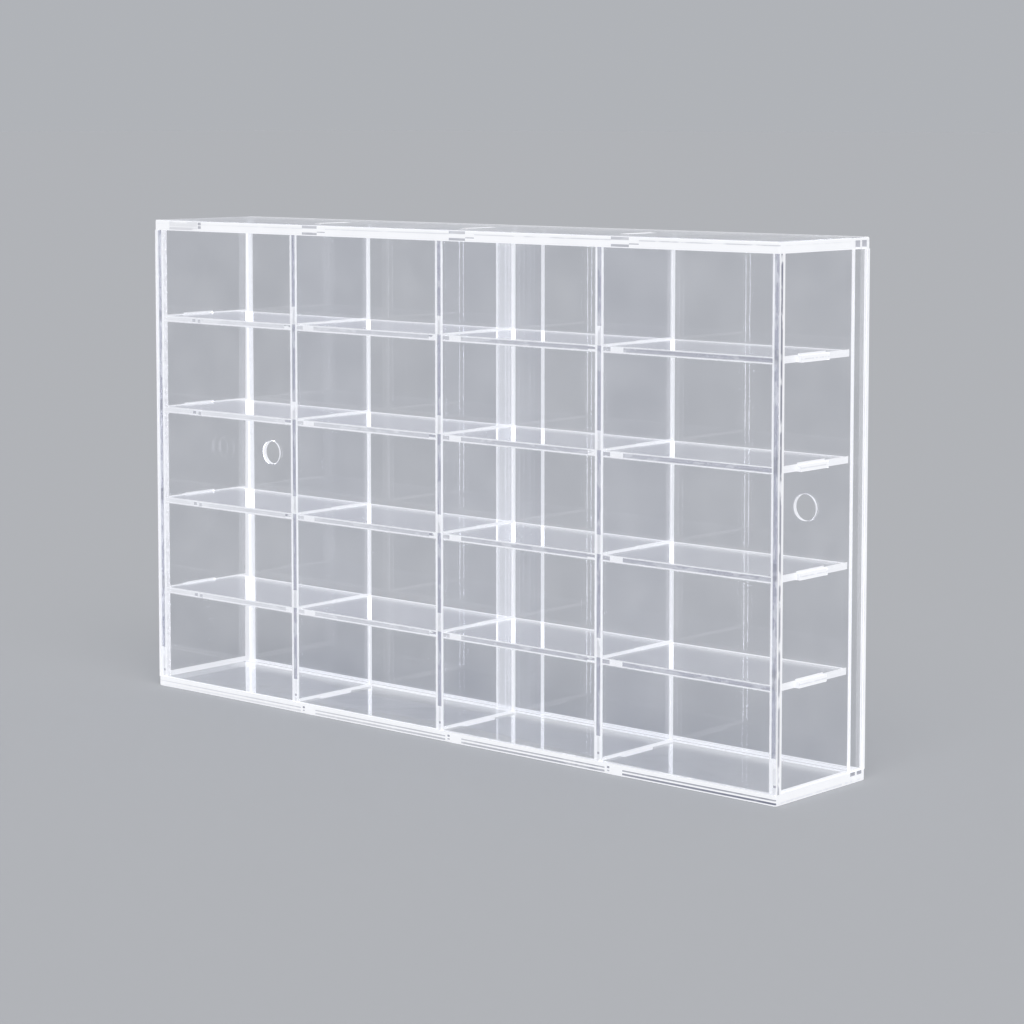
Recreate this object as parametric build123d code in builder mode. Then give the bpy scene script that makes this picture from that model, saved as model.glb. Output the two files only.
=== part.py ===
from build123d import *
import os

# Clear acrylic display case with twenty compartments and two sliding doors.
# The origin is at the middle of the underside. The fixed front panel faces -Y, the doors are at +Y.

# Driving dimensions, in millimetres
case_width = 424.0
case_depth = 72.0
case_height = 260.0
columns = 4
rows = 5

panel_thick = 5.5        # top and bottom sheets
wall_thick = 5.0         # left and right sheets
front_thick = 3.0
shelf_thick = 3.0
divider_thick = 4.8
door_thick = 3.0

rear_lip = 3.2           # material behind the outer groove
track_rib = 2.0          # material between the two grooves
track_land = 1.2         # from the rear edge of the shelves to the inner groove
door_side_gap = 0.2      # door face to groove side, on each side
top_groove_depth = 4.0
bottom_groove_depth = 1.6
door_top_hold = 1.5      # height of the door that stands in the top groove
door_overlap = 30.0      # how far the closed doors pass each other at the middle

hole_diameter = 13.0
left_hole_inset = 19.0   # from the outer end of the left door to the middle of its hole
right_hole_inset = 26.0
left_hole_drop = 3.0     # how far the left hole lies below mid-height
right_hole_drop = 0.0

tab_length = 22.0
shelf_tab_setback = 14.5     # from the front edge of a shelf to its tabs
divider_tab_setback = 17.2   # from the front edge of a divider to its tabs
fit_gap = 0.1            # each side of a tab in its slot, and of a sheet in a half-lap notch
glue_line = 0.05         # thickness of every glued seam

corner_radius = 1.2      # upright corners of the top and bottom sheets
rim_radius = 0.8         # outer rims of the top and bottom sheets
edge_break = 0.3         # flame-polished edges

# Places that follow from the sizes above
inner_width = case_width - 2 * wall_thick
inner_height = case_height - 2 * panel_thick
inner_floor = panel_thick
inner_ceiling = case_height - panel_thick
wall_height = inner_height - 2 * glue_line
column_width = (inner_width - (columns - 1) * divider_thick) / columns
row_height = (inner_height - (rows - 1) * shelf_thick) / rows

groove_width = door_thick + 2 * door_side_gap
outer_groove_front = case_depth - rear_lip - groove_width
inner_groove_front = outer_groove_front - track_rib - groove_width
outer_track = outer_groove_front + groove_width / 2
inner_track = inner_groove_front + groove_width / 2

grid_front = front_thick + glue_line
grid_rear = inner_groove_front - track_land
grid_depth = grid_rear - grid_front
grid_middle = grid_front + grid_depth / 2

door_bottom = inner_floor - bottom_groove_depth
door_top = inner_ceiling + door_top_hold
door_height = door_top - door_bottom
door_length = inner_width / 2 + door_overlap / 2

# The Y values are measured from the front face, and the whole case is centred on the origin.
half_depth = case_depth / 2


def y_at(depth_from_front):
    return depth_from_front - half_depth


def divider_x(index):
    return -inner_width / 2 + index * column_width + (index - 0.5) * divider_thick


def shelf_z(index):
    # Shelf 1 is the top one.
    level = rows - index
    return inner_floor + level * row_height + (level - 0.5) * shelf_thick


divider_places = [divider_x(index) for index in range(1, columns)]
shelf_places = [shelf_z(index) for index in range(1, rows)]
shelf_tab_middle = grid_front + shelf_tab_setback + tab_length / 2
divider_tab_middle = grid_front + divider_tab_setback + tab_length / 2
slot_length = tab_length + 2 * fit_gap


def grooved_panel(base, groove_depth, groove_base):
    # A sheet with a slot for each divider tab and two door grooves that run out at both ends.
    with BuildPart() as panel:
        with BuildSketch(Plane.XY.offset(base)):
            RectangleRounded(case_width, case_depth, corner_radius)
        extrude(amount=panel_thick)
        outer_face = Axis.Z if base > 0 else -Axis.Z
        fillet(panel.faces().sort_by(outer_face)[-1].edges(), rim_radius)
        slot_points = [(place, y_at(divider_tab_middle)) for place in divider_places]
        with BuildSketch(Plane.XY.offset(base)):
            with Locations(*slot_points):
                Rectangle(divider_thick + 2 * fit_gap, slot_length)
        extrude(amount=panel_thick, mode=Mode.SUBTRACT)
        with BuildSketch(Plane.XY.offset(groove_base)):
            with Locations((0, y_at(inner_track)), (0, y_at(outer_track))):
                Rectangle(case_width, groove_width)
        extrude(amount=groove_depth, mode=Mode.SUBTRACT)
    return panel.part


def side_wall(outer_face_x, inward):
    # A side sheet with a slot for each shelf tab. It stands between the top and bottom panels.
    slot_points = [(y_at(shelf_tab_middle), place) for place in shelf_places]
    wall_front = front_thick + glue_line
    wall_depth = case_depth - wall_front
    with BuildPart() as wall:
        with BuildSketch(Plane.YZ.offset(outer_face_x)):
            with Locations((y_at(wall_front + wall_depth / 2), case_height / 2)):
                Rectangle(wall_depth, wall_height)
        extrude(amount=inward * wall_thick)
        fillet(wall.edges().filter_by(Axis.Z).group_by(Axis.Y)[-1], edge_break)
        with BuildSketch(Plane.YZ.offset(outer_face_x)):
            with Locations(*slot_points):
                Rectangle(slot_length, shelf_thick + 2 * fit_gap)
        extrude(amount=inward * wall_thick, mode=Mode.SUBTRACT)
    return wall.part


def shelf(height):
    # A full-width shelf, notched from its front edge to half depth for each divider.
    notch_depth = grid_depth / 2 + fit_gap
    with BuildPart() as board:
        with BuildSketch(Plane.XY.offset(height - shelf_thick / 2)):
            with Locations((0, y_at(grid_middle))):
                Rectangle(inner_width - 2 * glue_line, grid_depth)
            with Locations((0, y_at(shelf_tab_middle))):
                Rectangle(case_width, tab_length)
            notch_middle = y_at(grid_front + notch_depth / 2)
            with Locations(*[(place, notch_middle) for place in divider_places]):
                Rectangle(divider_thick + 2 * fit_gap, notch_depth, mode=Mode.SUBTRACT)
        extrude(amount=shelf_thick)
        fillet(board.edges().filter_by(Axis.X).group_by(Axis.Y)[-1], edge_break)
    return board.part


def divider(place):
    # A full-height divider, notched from its rear edge to half depth for each shelf.
    notch_depth = grid_depth / 2 + fit_gap
    with BuildPart() as board:
        with BuildSketch(Plane.YZ.offset(place - divider_thick / 2)):
            with Locations((y_at(grid_middle), case_height / 2)):
                Rectangle(grid_depth, inner_height - 2 * glue_line)
            with Locations((y_at(divider_tab_middle), case_height / 2)):
                Rectangle(tab_length, case_height)
            notch_middle = y_at(grid_rear - notch_depth / 2)
            with Locations(*[(notch_middle, level) for level in shelf_places]):
                Rectangle(notch_depth, shelf_thick + 2 * fit_gap, mode=Mode.SUBTRACT)
        extrude(amount=divider_thick)
        fillet(board.edges().filter_by(Axis.Z).group_by(Axis.Y)[-1], edge_break)
    return board.part


def sliding_door(track, outer_end, hole_x, hole_drop):
    # A door that runs from the wall at its outer end to just past the middle of the case.
    towards_middle = 1 if outer_end < 0 else -1
    middle_x = outer_end + towards_middle * door_length / 2
    with BuildPart() as door:
        with BuildSketch(Plane.XZ.offset(-y_at(track) - door_thick / 2)):
            with Locations((middle_x, door_bottom + door_height / 2)):
                Rectangle(door_length, door_height)
        extrude(amount=door_thick)
        fillet(door.edges().filter_by(Axis.Z), edge_break)
        with BuildSketch(Plane.XZ.offset(-y_at(track) - door_thick / 2)):
            with Locations((hole_x, case_height / 2 - hole_drop)):
                Circle(hole_diameter / 2)
        extrude(amount=door_thick, mode=Mode.SUBTRACT)
        hole_rims = door.edges().filter_by(GeomType.CIRCLE).sort_by(SortBy.RADIUS)[-2:]
        chamfer(hole_rims, edge_break)
    return door.part


os.makedirs("parts", exist_ok=True)


def save(piece, name):
    piece.label = name
    export_step(piece, "parts/" + name + ".step")


# The top panel is grooved from below and the bottom panel from above.
save(grooved_panel(inner_ceiling, top_groove_depth, inner_ceiling), "top_panel")
save(grooved_panel(0, bottom_groove_depth, door_bottom), "bottom_panel")
save(side_wall(-case_width / 2, 1), "left_wall")
save(side_wall(case_width / 2, -1), "right_wall")

with BuildPart() as front_panel:
    with BuildSketch(Plane.XZ.offset(half_depth)):
        with Locations((0, case_height / 2)):
            Rectangle(case_width, wall_height)
    extrude(amount=-front_thick)
    fillet(front_panel.edges().filter_by(Axis.Z).group_by(Axis.Y)[0], edge_break)
save(front_panel.part, "front_panel")

for number, level in enumerate(shelf_places, start=1):
    save(shelf(level), "shelf_" + str(number))

for number, place in enumerate(divider_places, start=1):
    save(divider(place), "divider_" + str(number))

# The left door runs in the outer track and the right door in the inner one.
left_end = -inner_width / 2
right_end = inner_width / 2
left_hole_x = left_end + left_hole_inset
right_hole_x = right_end - right_hole_inset
save(sliding_door(outer_track, left_end, left_hole_x, left_hole_drop), "left_door")
save(sliding_door(inner_track, right_end, right_hole_x, right_hole_drop), "right_door")

print("compartment", round(column_width, 2), "x", round(grid_depth, 2), "x", round(row_height, 2))
print("door", round(door_length, 2), "x", round(door_height, 2), "travel", round(inner_width - door_length, 2))
print("tracks", round(y_at(inner_track), 3), round(y_at(outer_track), 3))
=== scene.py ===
import math
import random
import bmesh
import bpy
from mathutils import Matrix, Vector


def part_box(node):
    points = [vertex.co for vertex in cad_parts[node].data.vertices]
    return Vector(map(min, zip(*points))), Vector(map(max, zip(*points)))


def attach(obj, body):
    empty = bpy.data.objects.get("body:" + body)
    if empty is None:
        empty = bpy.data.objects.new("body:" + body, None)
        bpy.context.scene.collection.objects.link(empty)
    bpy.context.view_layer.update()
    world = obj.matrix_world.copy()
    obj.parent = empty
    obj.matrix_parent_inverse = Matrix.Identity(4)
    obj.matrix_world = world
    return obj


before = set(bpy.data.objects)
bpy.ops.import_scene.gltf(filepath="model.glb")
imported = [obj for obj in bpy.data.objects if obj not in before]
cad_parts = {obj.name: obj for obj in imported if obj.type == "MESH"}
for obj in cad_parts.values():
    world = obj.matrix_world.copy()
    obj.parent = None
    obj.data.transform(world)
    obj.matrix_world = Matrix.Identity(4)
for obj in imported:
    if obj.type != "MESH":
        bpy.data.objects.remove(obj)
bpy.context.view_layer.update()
print("frame loaded, nodes:", len(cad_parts))


class Socket:
    # a node output that can be used in plain expressions
    def __init__(self, shade, out):
        self.shade = shade
        self.out = out

    def join(self, operation, first, second=None):
        values = [first] if second is None else [first, second]
        return self.shade.node("ShaderNodeMath", {"operation": operation}, dict(enumerate(values)))

    def __add__(self, other):
        return self.join("ADD", self, other)

    def __radd__(self, other):
        return self.join("ADD", other, self)

    def __sub__(self, other):
        return self.join("SUBTRACT", self, other)

    def __rsub__(self, other):
        return self.join("SUBTRACT", other, self)

    def __mul__(self, other):
        return self.join("MULTIPLY", self, other)

    def __rmul__(self, other):
        return self.join("MULTIPLY", other, self)

    def __gt__(self, other):
        return self.join("GREATER_THAN", self, other)

    def __lt__(self, other):
        return self.join("LESS_THAN", self, other)

    def __abs__(self):
        return self.join("ABSOLUTE", self)

    def most(self, other):
        return self.join("MAXIMUM", self, other)

    def least(self, other):
        return self.join("MINIMUM", self, other)

    def ease(self, low, high):
        # 0 below low, 1 above high, smooth between
        settings = {"interpolation_type": "SMOOTHSTEP"}
        return self.shade.node("ShaderNodeMapRange", settings, {0: self, 1: low, 2: high, 3: 0.0, 4: 1.0})

    def around(self, base, swing):
        # a noise turned into a factor: the base at 0, and the base and the swing together at 1
        return base + swing * self


class Shade:
    # the node tree of one material or of the world
    def __init__(self, owner):
        self.owner = owner
        owner.use_nodes = True
        self.tree = owner.node_tree
        self.tree.nodes.clear()

    def node(self, kind, settings=None, values=None, output=0):
        made = self.tree.nodes.new(kind)
        for key, value in (settings or {}).items():
            setattr(made, key, value)
        for key, value in (values or {}).items():
            if isinstance(value, Socket):
                self.tree.links.new(value.out, made.inputs[key])
            else:
                made.inputs[key].default_value = value
        return Socket(self, made.outputs[output]) if made.outputs else None

    def split(self, vector):
        # the three parts of a vector
        return [self.node("ShaderNodeSeparateXYZ", {}, {0: vector}, output=side) for side in range(3)]

    def noise(self, vector, scale, detail):
        values = {"Vector": vector, "Scale": scale, "Detail": detail}
        return self.node("ShaderNodeTexNoise", {}, values)

    def blend(self, factor, first, second):
        # from the first colour at 0 to the second at 1
        ends = [end if isinstance(end, Socket) else colour(*end) for end in (first, second)]
        values = {0: factor, 6: ends[0], 7: ends[1]}
        return self.node("ShaderNodeMix", {"data_type": "RGBA"}, values, output=2)

    def mix(self, factor, first, second):
        # from the first shader at 0 to the second at 1
        return self.node("ShaderNodeMixShader", {}, {0: factor, 1: first, 2: second})

    def finish(self, surface, kind="ShaderNodeOutputMaterial"):
        self.node(kind, {}, {"Surface": surface})
        return self.owner


def newShade(name):
    material = bpy.data.materials.new(name)
    material.cycles.emission_sampling = "NONE"
    return Shade(material)


def colour(red, green, blue):
    return (red, green, blue, 1.0)


def between(value, low, high):
    return (value > low) * (value < high)


def anyOf(masks):
    # 1 where any of the masks is 1
    whole = masks[0]
    for mask in masks[1:]:
        whole = whole.most(mask)
    return whole


def addObject(name, data):
    made = bpy.data.objects.new(name, data)
    bpy.context.collection.objects.link(made)
    return made


def addMesh(name, mesh, paint):
    data = bpy.data.meshes.new(name)
    mesh.to_mesh(data)
    mesh.free()
    data.materials.append(paint)
    return addObject(name, data)


# the camera stands to the right of the fixed front panel, a little above the lid
view = {"eye": (0.9593, -1.0668, 0.3148), "azimuth": 41.4, "down": 4.687, "focal": 98.68,
        "sensor": 36.0, "shift": -0.1582, "nearest": 0.05, "farthest": 200}


def placeCamera():
    data = bpy.data.cameras.new("camera")
    data.sensor_width = view["sensor"]
    data.lens = view["focal"]
    data.shift_y = view["shift"]
    data.clip_start = view["nearest"]
    data.clip_end = view["farthest"]
    camera = addObject("camera", data)
    camera.location = view["eye"]
    camera.rotation_euler = (math.radians(90 - view["down"]), 0, math.radians(view["azimuth"]))
    bpy.context.scene.camera = camera


placeCamera()
print("camera placed")

# boxes of the grid inside the case, from the left and from the top, and the height of its floor
dividers = [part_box("divider_" + str(number)) for number in (1, 2, 3)]
shelves = [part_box("shelf_" + str(number)) for number in (1, 2, 3, 4)]
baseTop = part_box("bottom_panel")[1][2]

# clear acrylic: refracting faces, bright cut edges that glow with painted light, and frosted milled
# grooves
acrylic = {"ior": 1.49, "tint": (0.988, 0.99, 0.998), "passed": (0.965, 0.97, 0.98),
           "white": (0.32, 0.325, 0.34), "lilac": (0.12, 0.125, 0.165), "edgeRough": 0.35,
           "whiteGlow": (0.69, 0.696, 0.715), "lilacGlow": (0.055, 0.06, 0.095), "solid": 0.98}
# scale and detail of the fine grain and of the slow drift over a sheet, and the base and the
# swing with which they vary its tone, how solid its edges look, and how worn its grooves are
# and how strong the painted shade in their mouths is
variation = {"grain": (420.0, 3.0), "drift": (45.0, 2.0), "tone": (0.93, 0.14),
             "solid": (0.94, 0.12), "wearAndShade": (0.6, 0.8)}
# painted reflections: how much brighter the glow of the corners, from this place across the front edge,
# and of the rear strips is made where another sheet mirrors them
paintedReflection = {"corner": (8.5, 8.55, 8.9), "from": 0.3, "strip": (1.9, 1.92, 2.0), "bounce": 0.5}
# how far a face is turned when it counts as a side, front, rear, upper or cut face
facing = {"side": 0.9, "front": -0.5, "rear": 0.5, "up": 0.5, "edge": 0.6}
# two faces this close count as one
touching = 0.0001

# each cut edge is white with darker lines along it, painted shade that stands in for darker things
# seen through the polished edge: place across the sheet (-1 to 1), half width, strength at the low and
# the high end of the edge, and how far the line breaks up into dashes; a patch is a short length of the
# front edge, from, to, and the painted lines it has instead
edgeLooks = {
    "shelf": {"across": 2, "along": 0, "seeThrough": 0.6, "other": [(0.0, 0.3, 0.15, 0.15, 1.0)],
              "front": [(0.05, 0.75, 0.1, 1.0, 0.3)],
              "patches": [("dividers", 0.0045, 0.0125, []),
                          ("dividers", -0.0095, -0.005, [(0.2, 0.5, 0.9, 0.9, 1.0)]),
                          ("leftEnd", 0.0282, 0.0305, [(0.0, 0.6, 0.8, 0.8, 0.3)]),
                          ("leftEnd", 0.0325, 0.0345, [(-0.2, 0.7, 0.6, 0.6, 0.3)])]},
    "divider": {"across": 0, "along": 2, "seeThrough": 0.85, "other": [],
                "front": [(-0.02, 0.55, 0.95, 0.9, 0.25)],
                "patches": [("shelves", 0.0, 0.0095, [(0.0, 0.45, 0.35, 0.35, 0.8)]),
                            ("base", 0.0, 0.012, [(0.0, 0.35, 0.2, 0.2, 1.0)]),
                            ("base", 0.003, 0.0041, [(0.0, 0.3, 0.8, 0.8, 0.0)])]},
    "wall": {"across": 0, "along": 2, "seeThrough": 0.85, "other": [(0.1, 0.25, 0.1, 0.1, 1.0)],
             "front": [(-0.15, 0.52, 0.95, 0.9, 0.3)],
             "patches": [("base", 0.0, 0.0165, [(0.0, 0.35, 0.2, 0.2, 1.0)]),
                         ("base", 0.003, 0.0041, [(0.1, 0.3, 0.8, 0.8, 0.0)])]},
    "front": {"across": 1, "along": 2, "seeThrough": 0.9, "other": [(0.2, 0.55, 0.6, 0.9, 0.8)],
              "front": [], "patches": []},
    "door": {"across": 1, "along": 2, "seeThrough": 0.8, "other": [], "front": [], "patches": []},
    "top": {"across": 2, "along": 0, "seeThrough": 0.95, "other": [(0.3, 0.1, 0.1, 0.1, 1.0)],
            "front": [(0.3, 0.12, 0.05, 0.35, 0.8)],
            "patches": [("dividers", 0.006, 0.017, [(0.6, 0.3, 0.5, 0.5, 0.2),
                                                    (-0.65, 0.25, 0.6, 0.6, 0.2)]),
                        ("dividers", 0.017, 0.023, [(-0.3, 0.12, 0.5, 0.5, 0.2)]),
                        ("leftEnd", 0.012, 0.0345, [(0.3, 0.6, 0.2, 0.2, 0.8),
                                                    (-0.6, 0.3, 0.3, 0.3, 0.8)]),
                        ("leftEnd", 0.035, 0.0374, [(0.45, 0.3, 0.6, 0.6, 0.0),
                                                    (-0.25, 0.3, 0.6, 0.6, 0.0)])]},
    "bottom": {"across": 2, "along": 0, "seeThrough": 0.9, "other": [(-0.5, 0.2, 0.12, 0.12, 1.0)],
               "front": [(0.14, 0.14, 0.2, 0.8, 0.2), (-0.47, 0.19, 0.05, 1.0, 0.25)],
               "patches": [("dividers", 0.003, 0.014, []),
                           ("dividers", 0.0045, 0.006, [(0.3, 0.2, 0.8, 0.8, 0.3),
                                                        (-0.3, 0.15, 0.5, 0.5, 0.3)])]}}
# how a line fades out across its half width, and the noise that breaks it up, long along the edge
lineSoft = {"core": 0.6, "rim": 1.2}
lineBreaks = {"across": 260.0, "along": 90.0, "detail": 3.0, "from": 0.5, "to": 0.62}


class Sheet:
    # one acrylic sheet: its box, where each point of it is and which way its face turns there
    def __init__(self, node, kind):
        self.node = node
        self.kind = kind
        self.look = edgeLooks[kind]
        self.low, self.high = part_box(node)
        self.shade = newShade(node + "_acrylic")
        place = self.shade.node("ShaderNodeTexCoord", output="Object")
        normal = self.shade.node("ShaderNodeNewGeometry", output="True Normal")
        self.inside = self.shade.node("ShaderNodeNewGeometry", output="Backfacing")
        # a face that is met from inside the sheet has its normal turned back outwards
        outward = 1 - 2 * self.inside
        self.spots = self.shade.split(place)
        self.turns = [turn * outward for turn in self.shade.split(normal)]
        self.side = abs(self.turns[0]) > facing["side"]
        self.front = self.turns[1] < facing["front"]
        thin = self.look["across"]
        middle = (self.low[thin] + self.high[thin]) / 2
        self.across = (self.spots[thin] - middle) * (2 / (self.high[thin] - self.low[thin]))
        self.edge = abs(self.turns[thin]) < facing["edge"]
        self.grain = self.shade.noise(place, *variation["grain"])
        self.drift = self.shade.noise(place, *variation["drift"])


def patchMask(sheet, where, start, end):
    # 1 along short lengths counted from the dividers, the left end, the base or the shelves
    places = {"dividers": (0, [high[0] for low, high in dividers]), "leftEnd": (0, [sheet.low[0]]),
              "shelves": (2, [high[2] for low, high in shelves]), "base": (2, [baseTop])}
    side, faces = places[where]
    return anyOf([between(sheet.spots[side], face + start, face + end) for face in faces])


def darkLines(across, along, dashes, lines):
    # how much painted shade darkens the edge at each place across it
    masks = []
    for centre, half, low, high, breaks in lines:
        line = 1 - abs(across - centre).ease(half * lineSoft["core"], half * lineSoft["rim"])
        masks.append(line * (along * (high - low) + low) * (1 - breaks * dashes))
    return anyOf(masks) if masks else 0.0


def cutEdge(sheet):
    # how much painted shade darkens the cut edge at each place
    run = sheet.look["along"]
    along = (sheet.spots[run] - sheet.low[run]) * (1 / (sheet.high[run] - sheet.low[run]))
    scales = [lineBreaks["across"]] * 3
    scales[run] = lineBreaks["along"]
    stretched = [spot * scale for spot, scale in zip(sheet.spots, scales)]
    wide = sheet.shade.node("ShaderNodeCombineXYZ", {}, dict(enumerate(stretched)))
    dashes = sheet.shade.noise(wide, 1.0, lineBreaks["detail"]).ease(lineBreaks["from"], lineBreaks["to"])
    dark = darkLines(sheet.across, along, dashes, sheet.look["other"])
    if sheet.look["front"]:
        fronts = darkLines(sheet.across, along, dashes, sheet.look["front"])
        for where, start, end, lines in sheet.look["patches"]:
            patch = patchMask(sheet, where, start, end)
            fronts = fronts * (1 - patch) + patch * darkLines(sheet.across, along, dashes, lines)
        dark = sheet.front * fronts + (1 - sheet.front) * dark
    return dark


# milled door tracks: frosted inside, with painted shade where they run out at the ends of the sheet
groove = {"side": 0.00045, "top": 0.0014, "bottom": 0.0038, "share": 0.7, "mouth": 0.004,
          "lip": 0.0009, "shade": 0.65}


def trackMask(sheet):
    # the milled faces of the two door tracks in a top or bottom sheet
    masks = []
    for door in ("left_door", "right_door"):
        doorLow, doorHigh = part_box(door)
        track = between(sheet.spots[1], doorLow[1] - groove["side"], doorHigh[1] + groove["side"])
        if sheet.kind == "top":
            masks.append(track * (sheet.spots[2] < sheet.high[2] - groove["top"]))
        else:
            masks.append(track * (sheet.spots[2] > sheet.low[2] + groove["bottom"]))
    return anyOf(masks)


def trackMouthShade(sheet, track):
    # painted shade in the mouths of the tracks, where they run out at the ends of the sheet
    mouth = track * (abs(sheet.spots[0]) > sheet.high[0] - groove["mouth"])
    mouth = mouth * (sheet.spots[2] > sheet.low[2] + groove["lip"])
    return mouth * groove["shade"] * sheet.drift.around(*variation["wearAndShade"])


# glue lines on the upright sheets, along the top of each shelf and of the base
joint = {"front": 0.0005, "rear": 0.0007, "base": 0.001, "leftBase": 0.003, "wall": 0.0004,
         "tab": 0.001, "tabFrom": -0.0184, "tabTo": 0.0036, "seam": 0.0011, "share": 0.92}


def jointLines(sheet):
    # where the shelves and the base meet an upright sheet
    spots, low, high = sheet.spots, sheet.low, sheet.high
    gridFront, gridRear = shelves[0][0][1], shelves[0][1][1]
    if sheet.kind == "wall":
        leg = between(spots[1], joint["tabFrom"], joint["tabTo"]) * (joint["tab"] - joint["wall"])
        leg = leg + joint["wall"]
    else:
        leg = (spots[1] > (gridFront + gridRear) / 2) * (joint["rear"] - joint["front"])
        leg = leg + joint["front"]
    masks = [spots[2] < baseTop + joint["leftBase" if sheet.node == "left_wall" else "base"]]
    for below, above in shelves:
        # a wall also has a bright band where the end of the shelf is glued to it
        start = below[2] if sheet.kind == "wall" else above[2]
        masks.append(between(spots[2], start, leg + above[2]))
    reach = high[1] if sheet.node == "left_wall" else gridRear
    mask = anyOf(masks) * sheet.side * (spots[1] < reach)
    if sheet.kind == "wall":
        # on the inner face only, with a bright seam where the front panel is glued on
        inner = high[0] if high[0] < 0 else low[0]
        mask = mask * (abs(spots[0] - inner) < touching)
        mask = mask.most((spots[1] < low[1] + joint["seam"]) * sheet.side)
    return mask


# painted highlight: bright strips up the rear of the upright sheets, standing in for the glow of the
# rear cut edge seen through the face, widest on the inner face of the left wall
rearStrip = {"divider": 0.0009, "wall": 0.0015, "left": 0.01, "taper": 0.0112, "soft": 0.0003,
             "share": 0.92}


def rearHighlightMask(sheet):
    width = rearStrip[sheet.kind]
    if sheet.node == "left_wall":
        inner = sheet.spots[0] > sheet.high[0] - touching
        width = inner * (rearStrip["left"] - width - sheet.spots[2] * rearStrip["taper"]) + width
    strip = (sheet.spots[1] - sheet.high[1] + width).ease(0.0, rearStrip["soft"])
    return strip * sheet.side


# painted highlight: a bright rim along the rear of the level sheets, and a faint painted glow that runs
# forward from it
rearRim = {"width": 0.004, "full": -0.0015, "share": 0.9, "fade": 0.015, "faint": 0.4}


def rimGlow(sheet):
    up = sheet.turns[2] > facing["up"]
    rim = (sheet.spots[1] - sheet.high[1]).ease(-rearRim["width"], rearRim["full"])
    glow = rim * up * rearRim["share"]
    if sheet.kind != "top":
        fall = (sheet.spots[1] - shelves[0][1][1]).ease(-rearRim["fade"], 0.0)
        glow = glow.most(fall * up * rearRim["faint"])
    return glow


# the end of the right door that stands in the middle of the case has a streaked pale band
doorEnd = {"full": 0.0072, "width": 0.012, "streaks": 900.0, "share": 0.6}
# all clear faces have a trace of haze
haze = {"top": 0.08, "other": 0.03, "from": 0.3, "to": 0.8}


def doorEndBand(sheet):
    along = {"W": sheet.spots[0] * doorEnd["streaks"]}
    streaks = sheet.shade.node("ShaderNodeTexNoise", {"noise_dimensions": "1D"}, along)
    fade = 1 - abs(sheet.spots[0] - sheet.low[0]).ease(doorEnd["full"], doorEnd["width"])
    return fade * streaks * doorEnd["share"]


def brightShare(sheet, dark, track, rear):
    # how much of each face is bright cut, milled, glued or hazy acrylic, or a painted highlight, instead
    # of clear
    whole = acrylic["solid"]
    solid = whole * sheet.grain.around(*variation["solid"])
    share = sheet.edge * (solid - dark * (whole - sheet.look["seeThrough"])).least(whole)
    if track:
        share = share.most(track * groove["share"] * sheet.grain.around(*variation["wearAndShade"]))
    if sheet.kind in ("shelf", "bottom", "top"):
        # painted highlight along the rear of the level sheets
        share = share.most(rimGlow(sheet))
    if rear:
        share = share.most(jointLines(sheet) * joint["share"])
        # painted highlight up the rear of the upright sheets
        share = share.most(rear * rearStrip["share"])
    if sheet.node == "right_door":
        share = share.most(doorEndBand(sheet))
    amount = haze["top" if sheet.kind == "top" else "other"]
    return share.most(amount * sheet.drift.ease(haze["from"], haze["to"]))


def brightGlow(sheet, tone, rear):
    # painted light: the cut faces glow, and the corners and rear strips glow much brighter where another
    # sheet mirrors them, as painted reflections that show as thin lines
    shade = sheet.shade
    glow = shade.blend(tone, acrylic["lilacGlow"], acrylic["whiteGlow"])
    if sheet.kind not in ("divider", "wall", "door"):
        return glow
    reflected = shade.node("ShaderNodeLightPath", output="Glossy Depth") > paintedReflection["bounce"]
    if sheet.kind == "door":
        return shade.blend(reflected * sheet.side, glow, paintedReflection["strip"])
    strip = rear.most(sheet.inside * (sheet.turns[1] > facing["rear"]))
    glow = shade.blend(reflected * strip, glow, paintedReflection["strip"])
    corner = reflected * sheet.front * (sheet.across > paintedReflection["from"])
    return shade.blend(corner, glow, paintedReflection["corner"])


def clearSheet(node, kind):
    sheet = Sheet(node, kind)
    shade = sheet.shade
    track = trackMask(sheet) if kind in ("top", "bottom") else None
    # painted highlight strips up the rear of the upright sheets
    rear = rearHighlightMask(sheet) if kind in ("divider", "wall") else None
    dark = cutEdge(sheet)
    if node == "front_panel":
        # the painted dark line runs up the right end only
        dark = dark * (sheet.spots[0] > 0)
    # painted shade in the mouths of the tracks
    if track:
        dark = dark.most(trackMouthShade(sheet, track))
    # the painted shade of the dark lines and of the track mouths darkens the tone
    tone = (1 - dark) * sheet.drift.around(*variation["tone"])
    # painted light: the bright share of each face glows through its emission colour, though it is no lamp
    cut = shade.node("ShaderNodeBsdfPrincipled", {}, {
        "Base Color": shade.blend(tone, acrylic["lilac"], acrylic["white"]),
        "Roughness": acrylic["edgeRough"], "IOR": acrylic["ior"],
        "Emission Color": brightGlow(sheet, tone, rear), "Emission Strength": 1.0})
    glass = shade.node("ShaderNodeBsdfGlass", {}, {
        "Color": colour(*acrylic["tint"]), "Roughness": 0.0, "IOR": acrylic["ior"]})
    # light for the shadows and for dull faces goes straight through
    film = shade.node("ShaderNodeBsdfTransparent", {}, {"Color": colour(*acrylic["passed"])})
    shadowRay = shade.node("ShaderNodeLightPath", output="Is Shadow Ray")
    diffuseRay = shade.node("ShaderNodeLightPath", output="Is Diffuse Ray")
    clear = shade.mix(shadowRay.most(diffuseRay), glass, film)
    return shade.finish(shade.mix(brightShare(sheet, dark, track, rear), clear, cut))


def sheetKind(node):
    kinds = {"top_panel": "top", "bottom_panel": "bottom", "front_panel": "front",
             "left_wall": "wall", "right_wall": "wall", "left_door": "door", "right_door": "door"}
    return kinds.get(node) or node.split("_")[0]


for node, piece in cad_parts.items():
    piece.data.materials.clear()
    piece.data.materials.append(clearSheet(node, sheetKind(node)))
print("acrylic dressed")

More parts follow.
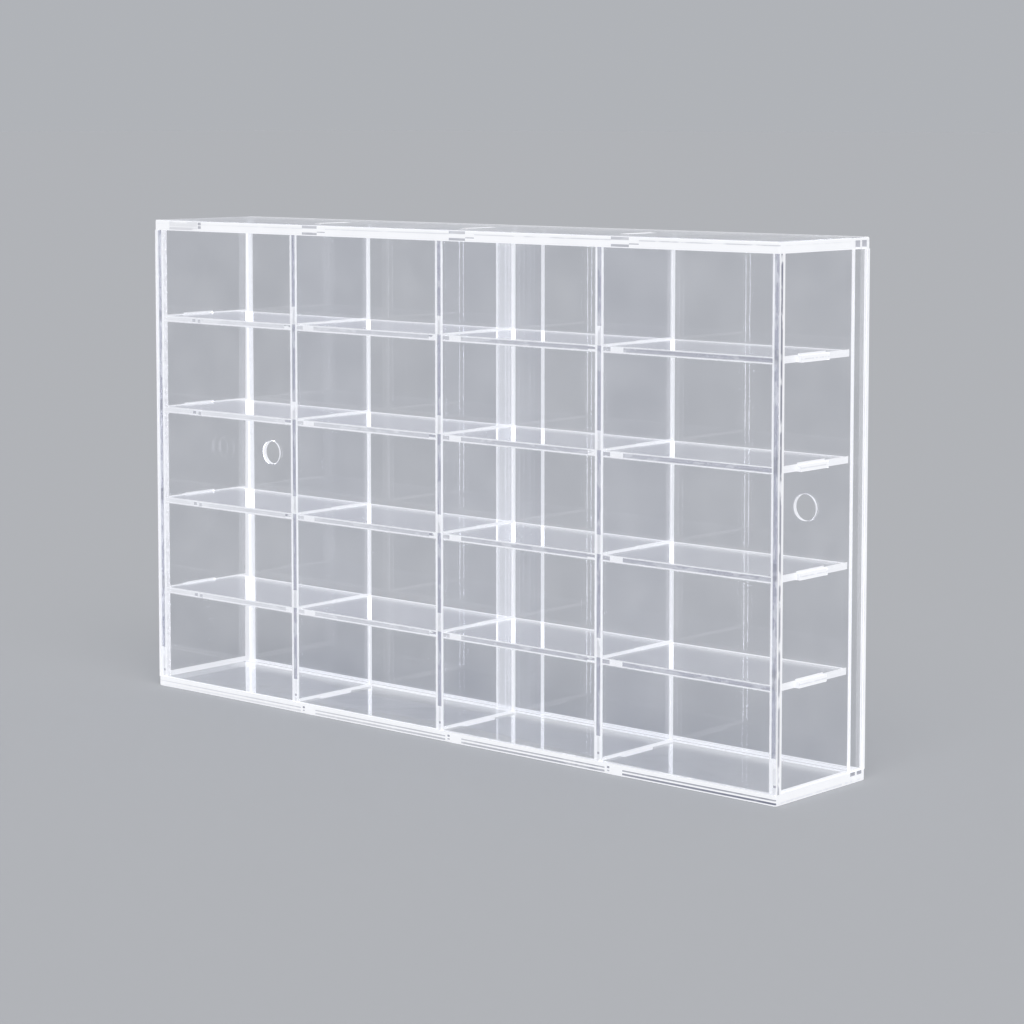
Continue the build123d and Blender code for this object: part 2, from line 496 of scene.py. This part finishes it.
# solvent glue that has crept into the corners behind the front panel
glue = {"uprightLeg": 0.0003, "wallLeg": 0.0026, "levelLeg": 0.00025, "step": 0.004, "seed": 7,
        "wander": 0.05, "follow": 0.5, "clearance": 0.00002, "hollow": 0.3}
# how solid it looks on upright and level runs, and the small beads in it
gluePaint = {"upright": 0.95, "level": 0.6, "most": 0.95, "uprightTurn": 0.2, "rough": 0.25,
             "passed": (0.97, 0.97, 0.99), "beads": (500.0, 2.0), "beadShare": (0.8, 0.4),
             "beadEase": (0.3, 0.6), "beadTone": (0.75, 0.25)}


def paintGlue():
    shade = newShade("clear_glue")
    normal = shade.node("ShaderNodeNewGeometry", output="True Normal")
    place = shade.node("ShaderNodeTexCoord", output="Object")
    beads = shade.noise(place, *gluePaint["beads"])
    upright = abs(shade.split(normal)[0]) > gluePaint["uprightTurn"]
    share = upright * (gluePaint["upright"] - gluePaint["level"]) + gluePaint["level"]
    share = (share * beads.around(*gluePaint["beadShare"])).least(gluePaint["most"])
    tone = beads.ease(*gluePaint["beadEase"]).around(*gluePaint["beadTone"])
    body = shade.node("ShaderNodeBsdfPrincipled", {}, {
        "Base Color": shade.blend(tone, acrylic["lilac"], acrylic["white"]),
        "Roughness": gluePaint["rough"],
        # painted light: the glue glows like the cut edges
        "Emission Color": shade.blend(tone, acrylic["lilacGlow"], acrylic["whiteGlow"]),
        "Emission Strength": 1.0})
    film = shade.node("ShaderNodeBsdfTransparent", {}, {"Color": colour(*gluePaint["passed"])})
    return shade.finish(shade.mix(share, film, body))


def openings():
    # the clear rectangles between walls, dividers, shelves, top and bottom, at the front panel
    columns = [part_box("left_wall")[1][0]]
    for low, high in dividers:
        columns += [low[0], high[0]]
    columns.append(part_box("right_wall")[0][0])
    rows = [baseTop]
    for low, high in reversed(shelves):
        rows += [low[2], high[2]]
    rows.append(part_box("top_panel")[0][2])
    for left, right in zip(columns[0::2], columns[1::2]):
        for base, roof in zip(rows[0::2], rows[1::2]):
            yield left, right, base, roof


def outline(left, right, base, roof):
    # points round a rectangle, about one step apart
    corners = [(left, base), (right, base), (right, roof), (left, roof)]
    for (startX, startZ), (endX, endZ) in zip(corners, corners[1:] + corners[:1]):
        count = max(2, round(math.hypot(endX - startX, endZ - startZ) / glue["step"]))
        for part in range(count):
            share = part / count
            yield startX + (endX - startX) * share, startZ + (endZ - startZ) * share


def runGlue(mesh, left, right, base, roof):
    # a hollow fillet of glue round one opening, a little thicker and thinner along the way
    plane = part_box("front_panel")[1][1] + glue["clearance"]
    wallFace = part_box("left_wall")[1][0]
    gap = glue["clearance"]
    hollow = glue["hollow"]
    rings = []
    swell = 1.0
    for x, z in outline(left + gap, right - gap, base + gap, roof - gap):
        swell += (random.uniform(1 - glue["wander"], 1 + glue["wander"]) - swell) * glue["follow"]
        broad = swell * (glue["wallLeg"] if abs(x - wallFace) < 2 * gap else glue["uprightLeg"])
        level = swell * glue["levelLeg"]
        inX = min(max(x, left + broad), right - broad)
        inZ = min(max(z, base + level), roof - level)
        deep = max(abs(inX - x), abs(inZ - z))
        ring = [(x, plane, z), (inX, plane, inZ),
                (x + (inX - x) * hollow, plane + deep * hollow, z + (inZ - z) * hollow),
                (x, plane + deep, z)]
        rings.append([mesh.verts.new(corner) for corner in ring])
    for first, second in zip(rings, rings[1:] + rings[:1]):
        for corner in range(4):
            after = (corner + 1) % 4
            mesh.faces.new((first[corner], first[after], second[after], second[corner]))


def makeGlue():
    random.seed(glue["seed"])
    mesh = bmesh.new()
    for opening in openings():
        runGlue(mesh, *opening)
    bmesh.ops.recalc_face_normals(mesh, faces=mesh.faces)
    seam = addMesh("front_glue", mesh, paintGlue())
    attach(seam, "case")


makeGlue()
print("glue run in")

# pale dull floor
ground = {"reach": 60.0, "paint": (0.455, 0.463, 0.485), "rough": 0.9, "gloss": 0.0}


def makeFloor():
    mesh = bmesh.new()
    reach = ground["reach"]
    corners = [(-reach, -reach), (reach, -reach), (reach, reach), (-reach, reach)]
    mesh.faces.new([mesh.verts.new((x, y, 0.0)) for x, y in corners])
    shade = newShade("floor_paint")
    paint = shade.node("ShaderNodeBsdfPrincipled", {}, {
        "Base Color": colour(*ground["paint"]), "Roughness": ground["rough"],
        "Specular IOR Level": ground["gloss"]})
    floor = addMesh("floor", mesh, shade.finish(paint))


makeFloor()
print("floor laid")

# soft studio light: an even sky, one broad lamp from the front right, and a wide pale panel
# behind the case, brighter to the left, that shows only through the acrylic and in it
studio = {"ambient": 0.62, "air": (0.97, 0.985, 1.0), "back": (0.436, 0.451, 0.478),
          "sun": 1.45, "sunAngle": 50, "sunFrom": (0.55, -0.55, 1.0)}
panel = {"dim": (0.57, 0.58, 0.61), "bright": (0.63, 0.64, 0.685), "dimFrom": -0.58,
         "brightFrom": -0.74, "foot": 0.05, "full": 0.085, "fadeFrom": 0.08, "fadeTo": 0.2,
         "fade": 0.6, "glossyFoot": 0.0, "glossyFull": 0.08}


def paintWorld():
    world = bpy.data.worlds.new("studio")
    bpy.context.scene.world = world
    shade = Shade(world)
    cameraRay = shade.node("ShaderNodeLightPath", output="Is Camera Ray")
    glossyRay = shade.node("ShaderNodeLightPath", output="Is Glossy Ray")
    throughRay = shade.node("ShaderNodeLightPath", output="Is Transmission Ray")
    sideways, _, upwards = shade.split(shade.node("ShaderNodeTexCoord", output="Generated"))
    height = upwards.ease(panel["foot"], panel["full"])
    height = height * (1 - panel["fade"] * upwards.ease(panel["fadeFrom"], panel["fadeTo"]))
    height = height.most(glossyRay * upwards.ease(panel["glossyFoot"], panel["glossyFull"]))
    left = 1 - sideways.ease(panel["brightFrom"], panel["dimFrom"])
    light = shade.node("ShaderNodeBackground", {}, {
        "Color": colour(*studio["air"]), "Strength": studio["ambient"]})
    behind = shade.node("ShaderNodeBackground", {}, {"Color": colour(*studio["back"]), "Strength": 1.0})
    pale = shade.node("ShaderNodeBackground", {}, {
        "Color": shade.blend(left, panel["dim"], panel["bright"]), "Strength": 1.0})
    seen = shade.mix(height * (1 - cameraRay), behind, pale)
    straight = cameraRay.most(glossyRay).most(throughRay)
    shade.finish(shade.mix(straight, light, seen), "ShaderNodeOutputWorld")


def hangLamp():
    lamp = bpy.data.lights.new("softKey", "SUN")
    lamp.energy = studio["sun"]
    lamp.angle = math.radians(studio["sunAngle"])
    holder = addObject("softKey", lamp)
    holder.rotation_euler = Vector(studio["sunFrom"]).to_track_quat("Z", "Y").to_euler()


# light passes many faces of clear sheet before it reaches the backdrop
bounces = {"all": 30, "through": 30, "mirror": 12, "straight": 64}


def countBounces(scene):
    scene.cycles.max_bounces = bounces["all"]
    scene.cycles.transmission_bounces = bounces["through"]
    scene.cycles.glossy_bounces = bounces["mirror"]
    scene.cycles.transparent_max_bounces = bounces["straight"]
    scene.cycles.caustics_reflective = False
    scene.cycles.caustics_refractive = False


paintWorld()
hangLamp()
countBounces(bpy.context.scene)
bpy.context.scene.view_settings.view_transform = "Standard"
print("studio lit")
